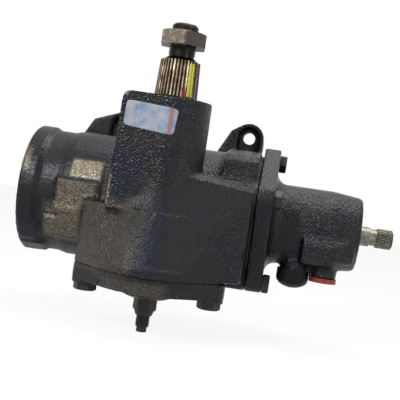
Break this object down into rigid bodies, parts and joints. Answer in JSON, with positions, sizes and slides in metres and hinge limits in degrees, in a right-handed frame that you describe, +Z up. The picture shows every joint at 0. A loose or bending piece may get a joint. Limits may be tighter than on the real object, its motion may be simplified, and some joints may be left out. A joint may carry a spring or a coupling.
{
  "type": "steering gearbox",
  "caption": "Power recirculating-ball steering gearbox: a cast housing with a rack piston on a ball worm, a serrated sector shaft for the steering arm and a rotary valve on the input shaft.",
  "frame": {"origin": "on the sector shaft's axis, level with the top face of the housing, where the steering arm's serrations start", "axes": "+X along the worm towards the input shaft, +Y towards the frame rail, +Z up the sector shaft towards the steering arm"},
  "size_m": [0.36, 0.1968, 0.284],
  "materials": {
    "cast_paint": "semi-gloss black paint over sand-cast iron",
    "black_bolt": "black paint over steel",
    "dark_steel": "black-oxide steel",
    "shaft_steel": "hardened and ground steel, oiled",
    "nut_steel": "phosphated steel nut",
    "input_steel": "ground steel with light storage stain",
    "bearing_steel": "bright steel",
    "seal_rubber": "oil-seal rubber",
    "ring_plastic": "filled low-friction plastic",
    "bronze": "plain bronze",
    "plug_plastic": "red moulded shipping plug",
    "cap_plastic": "black moulded shipping cap"
  },
  "bodies": {
    "gear_case": {"main_housing": "cast_paint", "valve_housing": "cast_paint", "sector_cover": "cast_paint", "sector_cover_oring": "seal_rubber", "sector_cover_bolts": "black_bolt", "valve_housing_bolts": "black_bolt", "valve_housing_oring": "seal_rubber", "adjuster_locknut": "dark_steel", "lash_adjuster": "dark_steel", "end_plug": "black_bolt", "end_plug_oring": "seal_rubber", "end_plug_ring": "bearing_steel", "sector_bearing_cup": "bearing_steel", "sector_bearing_needles": "bearing_steel", "sector_shaft_seal": "seal_rubber", "sector_dust_seal": "seal_rubber", "sector_seal_ring": "bearing_steel", "sector_cover_bush": "bronze", "worm_bearing_outer": "bearing_steel", "worm_bearing_balls": "bearing_steel", "worm_race_nut": "bearing_steel", "input_bearing": "bearing_steel", "input_shaft_seal": "seal_rubber", "input_seal_ring": "bearing_steel", "port_seats": "bronze", "pressure_port_plug": "plug_plastic", "return_port_cap": "cap_plastic"},
    "sector": {"sector_shaft": "shaft_steel", "pitman_nut": "nut_steel", "adjuster_retainer": "bearing_steel"},
    "piston": {"rack_piston": "shaft_steel", "piston_ring": "ring_plastic", "piston_end_plug": "shaft_steel", "ball_return_guide": "bearing_steel", "ball_guide_clamp": "bearing_steel", "ball_guide_screws": "bearing_steel", "nut_balls": "bearing_steel"},
    "worm": {"worm": "shaft_steel", "worm_bearing_inner": "bearing_steel", "valve_sleeve": "shaft_steel", "valve_sleeve_rings": "ring_plastic", "sleeve_drive_pin": "bearing_steel", "torsion_bar": "shaft_steel", "torsion_bar_pin": "bearing_steel"},
    "input": {"input_shaft": "input_steel", "input_shaft_pin": "input_steel"}
  },
  "joints": [
    {"name": "piston_slide", "type": "slide", "parent": "gear_case", "child": "piston", "axis": [1, 0, 0], "range_m": [-0.03, 0.03]},
    {"name": "worm_turn", "type": "hinge", "parent": "gear_case", "child": "worm", "pos_m": [0, 0.07, -0.1], "axis": [1, 0, 0], "range_deg": [-721, 721]},
    {"name": "sector_turn", "type": "hinge", "parent": "gear_case", "child": "sector", "pos_m": [0, 0, 0], "axis": [0, 0, 1], "range_deg": [-45, 45]},
    {"name": "valve_twist", "type": "hinge", "parent": "worm", "child": "input", "pos_m": [0, 0.07, -0.1], "axis": [1, 0, 0], "range_deg": [-5, 5], "stiffness_Nm_per_rad": 60}
  ],
  "couplings": [
    {"joint": "worm_turn", "follows": "piston_slide", "rad_per_m": -418.88},
    {"joint": "sector_turn", "follows": "piston_slide", "rad_per_m": -26.042}
  ]
}
